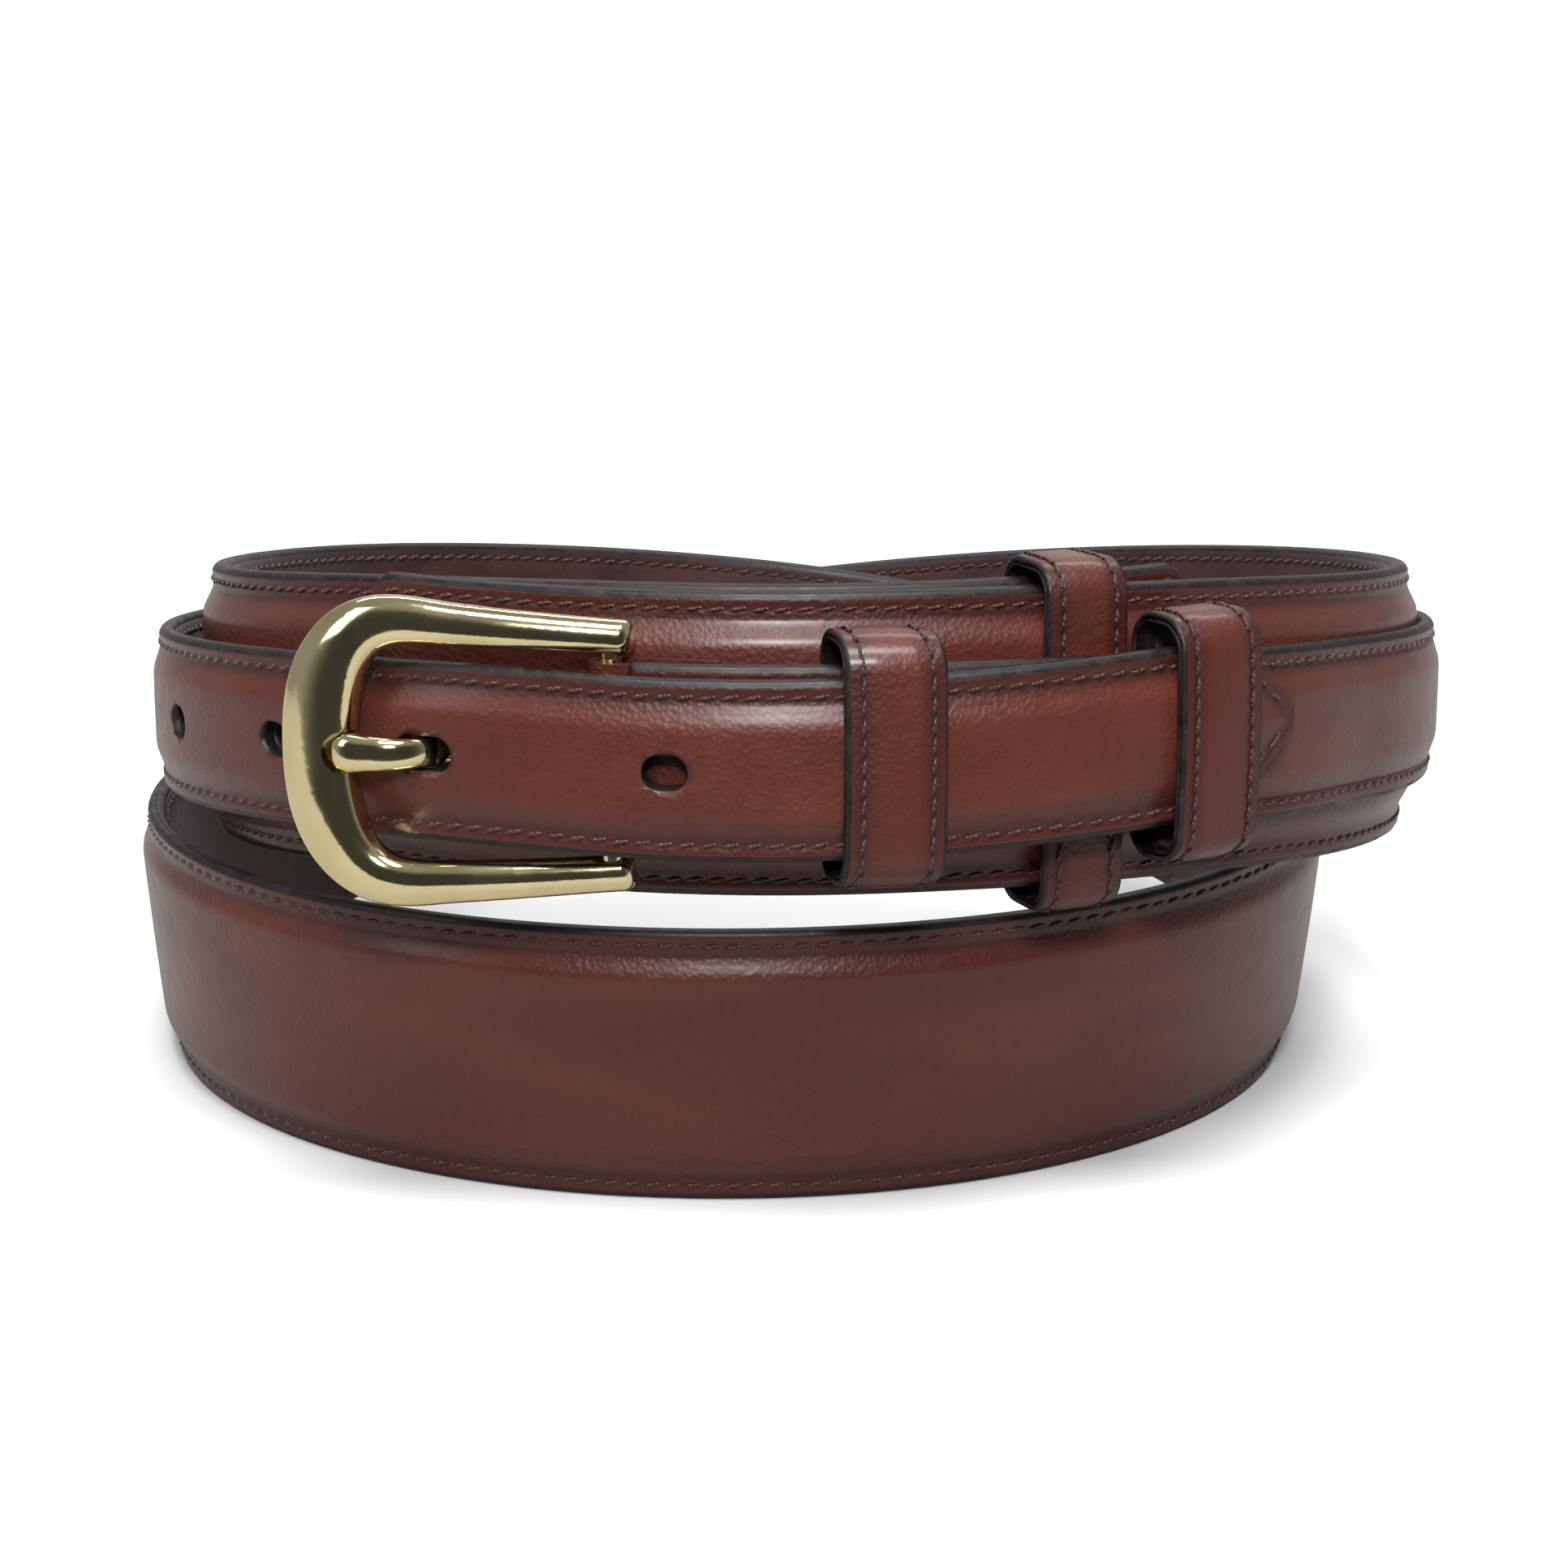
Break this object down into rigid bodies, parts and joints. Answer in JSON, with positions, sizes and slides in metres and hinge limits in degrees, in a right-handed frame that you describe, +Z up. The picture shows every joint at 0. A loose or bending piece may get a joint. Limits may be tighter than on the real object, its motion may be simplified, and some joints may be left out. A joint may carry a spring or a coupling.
{
  "type": "leather belt",
  "caption": "Gentlemen's ranger dress belt, buckled and wound on edge as a double coil, with narrow billets, a horseshoe buckle and leather keepers.",
  "frame": {"origin": "on the floor under the middle of the coil's outline", "axes": "+Z up, the buckle faces -Y, +X towards the tongue's tip; the coil's axis is Z"},
  "size_m": [0.173, 0.1797, 0.0789],
  "materials": {
    "face_leather": "burnished gloss",
    "lining_leather": "matt",
    "filler": "matt",
    "thread": "waxed",
    "brass": "polished"
  },
  "bodies": {
    "strap": {"wide_face": "face_leather", "wide_lining": "lining_leather", "wide_filler": "filler", "wide_thread": "thread", "buckle_billet_face": "face_leather", "buckle_billet_lining": "lining_leather", "buckle_billet_filler": "filler", "buckle_billet_thread": "thread", "tongue_billet_face": "face_leather", "tongue_billet_lining": "lining_leather", "tongue_billet_filler": "filler", "tongue_billet_thread": "thread"},
    "buckle": {"buckle_frame": "brass", "buckle_bar": "brass"},
    "prong": {"prong": "brass"},
    "front_keeper": {"front_keeper": "face_leather", "front_keeper_lining": "lining_leather", "front_keeper_thread": "thread"},
    "wide_keeper": {"wide_keeper": "face_leather", "wide_keeper_lining": "lining_leather", "wide_keeper_thread": "thread"},
    "rear_keeper": {"rear_keeper": "face_leather", "rear_keeper_lining": "lining_leather", "rear_keeper_thread": "thread"}
  },
  "joints": [
    {"name": "buckle_rock", "type": "hinge", "parent": "strap", "child": "buckle", "pos_m": [-0.01923, -0.0808, 0.058], "axis": [0, 0, 1], "range_deg": [0, 1.5]},
    {"name": "prong_lift", "type": "hinge", "parent": "buckle", "child": "prong", "pos_m": [-0.01923, -0.0808, 0.058], "axis": [0, 0, 1], "range_deg": [0, 1.2]},
    {"name": "front_keeper_slide", "type": "hinge", "parent": "strap", "child": "front_keeper", "pos_m": [-0.00089, 0.00547, 0.0587], "axis": [0, 0, 1], "range_deg": [-7, 9.2]},
    {"name": "wide_keeper_slide", "type": "hinge", "parent": "strap", "child": "wide_keeper", "pos_m": [-0.00089, 0.00547, 0.0582], "axis": [0, 0, 1], "range_deg": [-8, 0.5]},
    {"name": "rear_keeper_slide", "type": "hinge", "parent": "strap", "child": "rear_keeper", "pos_m": [-0.00089, 0.00547, 0.0587], "axis": [0, 0, 1], "range_deg": [-0.5, 1]}
  ]
}
